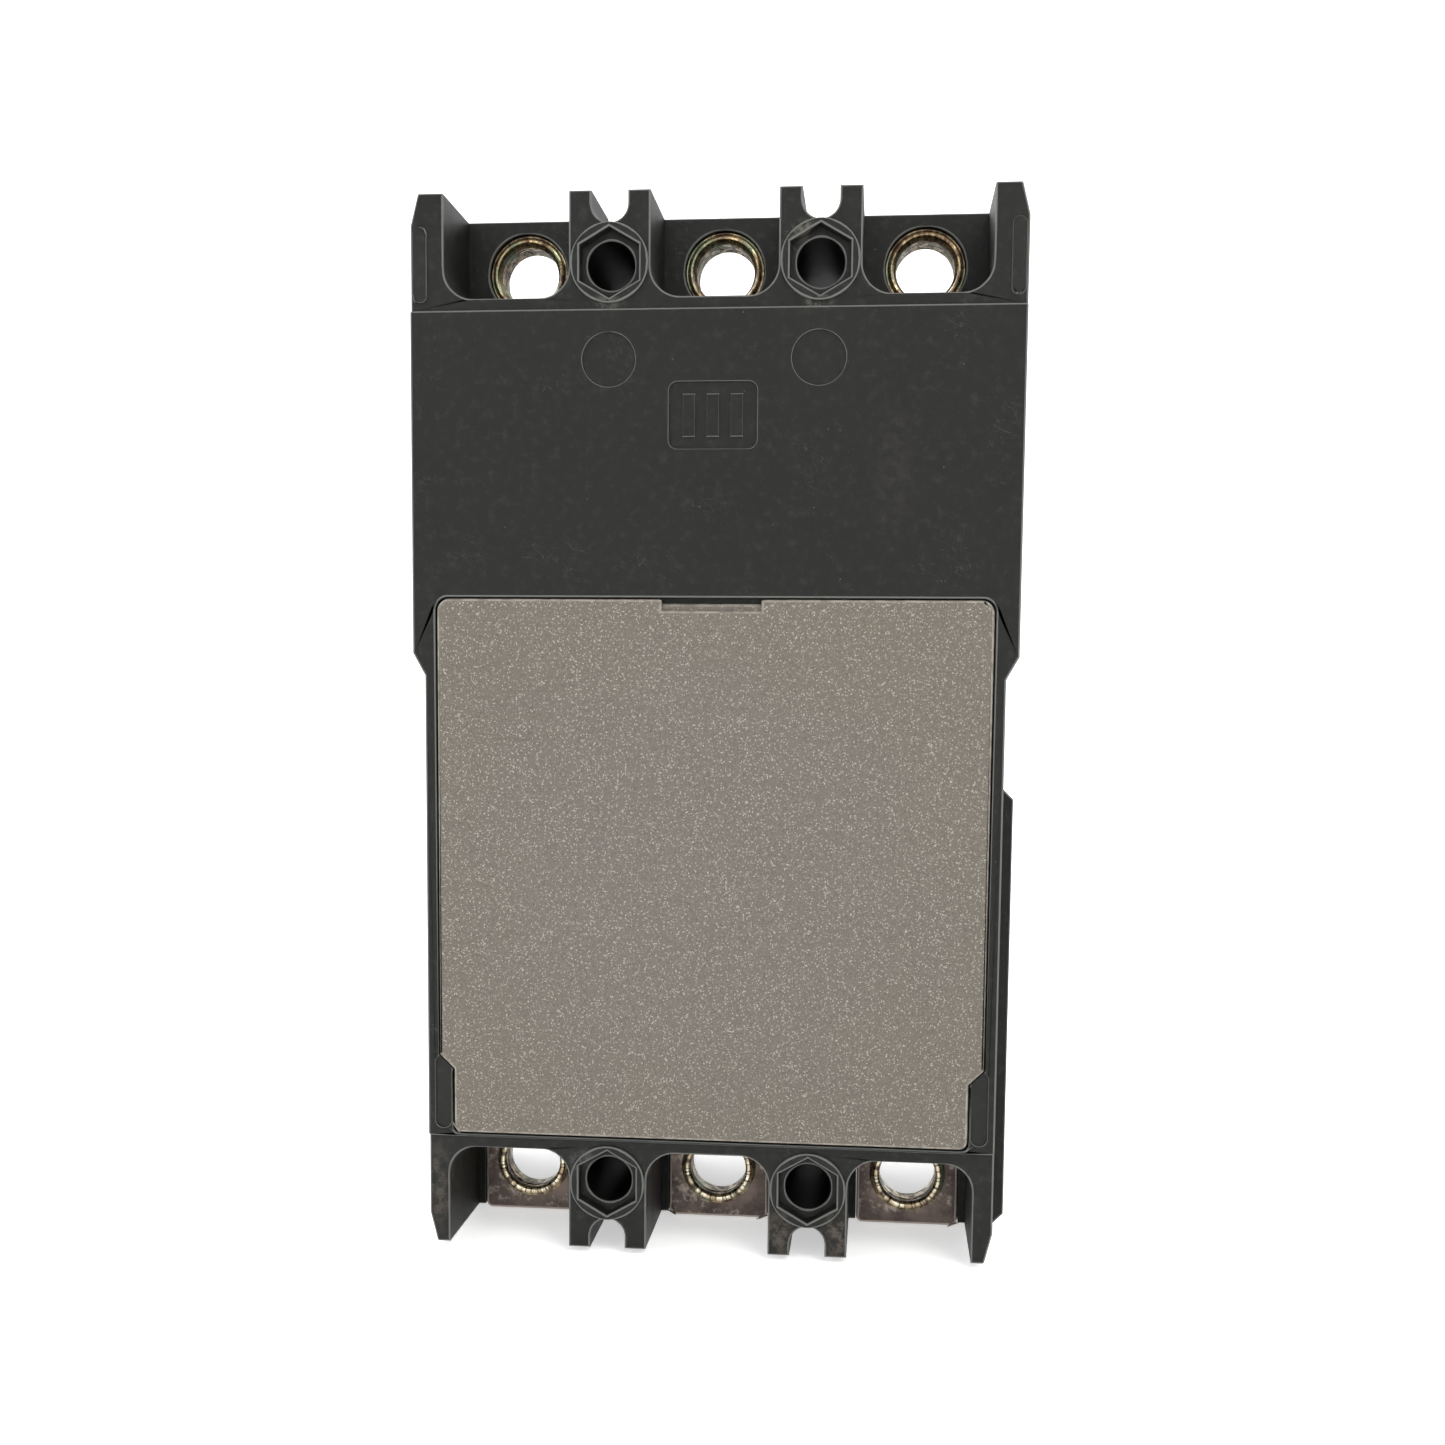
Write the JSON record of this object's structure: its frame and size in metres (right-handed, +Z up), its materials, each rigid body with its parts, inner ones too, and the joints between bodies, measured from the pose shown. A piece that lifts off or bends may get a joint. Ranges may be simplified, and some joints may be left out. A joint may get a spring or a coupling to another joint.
{
  "type": "moulded case circuit breaker",
  "caption": "Moulded case breaker with a dark case, grey rear cover plate, terminal pockets with collars, handle, contact arms, toggle mechanism and trip unit.",
  "frame": {"origin": "centre of the four mounting holes, in the plane of the rear mounting face", "axes": "+Z up towards the line terminals, +Y out of the rear mounting face, -Y towards the handle, +X to the right seen from the front"},
  "size_m": [0.105, 0.1057, 0.1806],
  "materials": {
    "case_moulding": "matt dark grey-green thermoset with pale scuffed edges",
    "front_moulding": "matt dark grey thermoplastic",
    "rear_plate": "warm grey moulding with fine bright grain",
    "label": "blank matt label",
    "copper": "tarnished copper",
    "plated_collar": "yellow zinc plate",
    "silver": "silver alloy",
    "steel": "bare steel",
    "zinc_screw": "zinc plated",
    "spring_steel": "spring wire",
    "fibre": "vulcanised fibre board",
    "crossbar_resin": "brown moulding resin",
    "handle_black": "black moulding",
    "button_red": "red moulding",
    "dial_yellow": "yellow moulding",
    "braid_copper": "bare copper braid"
  },
  "bodies": {
    "case": {"base": "case_moulding", "rear_cover": "rear_plate", "cover": "front_moulding", "accessory_cover": "front_moulding", "rating_label": "label", "cover_screws": "zinc_screw", "accessory_cover_screws": "zinc_screw", "line_terminal_1": "copper", "line_terminal_2": "copper", "line_terminal_3": "copper", "load_terminal_1": "copper", "load_terminal_2": "copper", "load_terminal_3": "copper", "line_terminal_collars": "plated_collar", "load_terminal_collars": "plated_collar", "fixed_contact_tips": "silver", "arc_chute_walls_1": "fibre", "arc_chute_walls_2": "fibre", "arc_chute_walls_3": "fibre", "arc_plates_1": "steel", "arc_plates_2": "steel", "arc_plates_3": "steel", "frame_plate_left": "steel", "frame_plate_right": "steel", "frame_tie_pins": "zinc_screw", "magnet_yokes": "steel", "bimetal_1": "steel", "bimetal_2": "steel", "bimetal_3": "steel", "calibration_screws": "zinc_screw", "trip_button_spring": "spring_steel", "braid_1": "braid_copper", "braid_2": "braid_copper", "braid_3": "braid_copper"},
    "handle": {"handle": "handle_black", "handle_arm": "steel", "handle_shutter": "handle_black", "main_springs": "spring_steel"},
    "crossbar": {"crossbar": "crossbar_resin", "crank_pins": "zinc_screw", "arm_pivot_pins": "zinc_screw", "contact_springs": "spring_steel"},
    "arm_1": {"contact_arm_1": "copper"},
    "arm_2": {"contact_arm_2": "copper"},
    "arm_3": {"contact_arm_3": "copper"},
    "lower_links": {"lower_links": "steel", "toggle_pin": "zinc_screw"},
    "upper_links": {"upper_links": "steel"},
    "cradle": {"cradle": "steel"},
    "latch": {"trip_latch": "steel"},
    "trip_bar": {"trip_bar": "crossbar_resin"},
    "armature_1": {"armature_1": "steel"},
    "armature_2": {"armature_2": "steel"},
    "armature_3": {"armature_3": "steel"},
    "trip_button": {"trip_button": "button_red"},
    "thermal_dial": {"thermal_dial": "dial_yellow"},
    "magnetic_dial": {"magnetic_dial": "dial_yellow"}
  },
  "joints": [
    {"name": "handle_swing", "type": "hinge", "parent": "case", "child": "handle", "pos_m": [0, -0.044, 0], "axis": [-1, 0, 0], "range_deg": [0, 34], "deforming": ["main_springs"]},
    {"name": "crossbar_turn", "type": "hinge", "parent": "case", "child": "crossbar", "pos_m": [0, -0.037, -0.012], "axis": [-1, 0, 0], "range_deg": [0, 25], "deforming": ["braid_1", "braid_2", "braid_3"]},
    {"name": "arm_1_blow_open", "type": "hinge", "parent": "crossbar", "child": "arm_1", "pos_m": [-0.035, -0.037, -0.012], "axis": [-1, 0, 0], "range_deg": [-10, 0], "stiffness_Nm_per_rad": 0.5, "springref_deg": 34.38},
    {"name": "arm_2_blow_open", "type": "hinge", "parent": "crossbar", "child": "arm_2", "pos_m": [0, -0.037, -0.012], "axis": [-1, 0, 0], "range_deg": [-10, 0], "stiffness_Nm_per_rad": 0.5, "springref_deg": 34.38},
    {"name": "arm_3_blow_open", "type": "hinge", "parent": "crossbar", "child": "arm_3", "pos_m": [0.035, -0.037, -0.012], "axis": [-1, 0, 0], "range_deg": [-10, 0], "stiffness_Nm_per_rad": 0.5, "springref_deg": 34.38},
    {"name": "lower_links_turn", "type": "hinge", "parent": "crossbar", "child": "lower_links", "pos_m": [0, -0.04619, -0.00281], "axis": [-1, 0, 0], "range_deg": [-17.3, 0.5]},
    {"name": "upper_links_turn", "type": "hinge", "parent": "lower_links", "child": "upper_links", "pos_m": [0, -0.05614, -0.00379], "axis": [-1, 0, 0], "range_deg": [-48.15, 0.5]},
    {"name": "cradle_release", "type": "hinge", "parent": "case", "child": "cradle", "pos_m": [0, -0.06, 0.024], "axis": [-1, 0, 0], "range_deg": [0, 12]},
    {"name": "latch_release", "type": "hinge", "parent": "case", "child": "latch", "pos_m": [0, -0.058, -0.024], "axis": [-1, 0, 0], "range_deg": [0, 5], "stiffness_Nm_per_rad": 0.02, "springref_deg": -17.19},
    {"name": "trip_button_press", "type": "slide", "parent": "case", "child": "trip_button", "axis": [0, 1, 0], "range_m": [0, 0.002], "stiffness_N_per_m": 100, "springref_m": -0.004, "deforming": ["trip_button_spring"]},
    {"name": "trip_bar_turn", "type": "hinge", "parent": "case", "child": "trip_bar", "pos_m": [0, -0.055, -0.043], "axis": [-1, 0, 0], "range_deg": [0, 19]},
    {"name": "armature_1_pull", "type": "hinge", "parent": "case", "child": "armature_1", "pos_m": [-0.035, -0.0493, -0.057], "axis": [-1, 0, 0], "range_deg": [0, 6], "stiffness_Nm_per_rad": 0.02, "springref_deg": -17.19},
    {"name": "armature_2_pull", "type": "hinge", "parent": "case", "child": "armature_2", "pos_m": [0, -0.0493, -0.057], "axis": [-1, 0, 0], "range_deg": [0, 6], "stiffness_Nm_per_rad": 0.02, "springref_deg": -17.19},
    {"name": "armature_3_pull", "type": "hinge", "parent": "case", "child": "armature_3", "pos_m": [0.035, -0.0493, -0.057], "axis": [-1, 0, 0], "range_deg": [0, 6], "stiffness_Nm_per_rad": 0.02, "springref_deg": -17.19},
    {"name": "thermal_dial_turn", "type": "hinge", "parent": "case", "child": "thermal_dial", "pos_m": [0.018, -0.084, -0.033], "axis": [0, -1, 0], "range_deg": [-60, 60]},
    {"name": "magnetic_dial_turn", "type": "hinge", "parent": "case", "child": "magnetic_dial", "pos_m": [0.032, -0.084, -0.033], "axis": [0, -1, 0], "range_deg": [-60, 60]}
  ],
  "couplings": [
    {"joint": "crossbar_turn", "follows": "handle_swing", "ratio": 0.73529},
    {"joint": "lower_links_turn", "follows": "handle_swing", "ratio": -0.49415},
    {"joint": "upper_links_turn", "follows": "handle_swing", "ratio": -1.4014},
    {"joint": "trip_bar_turn", "follows": "trip_button_press", "rad_per_m": 157.08}
  ]
}
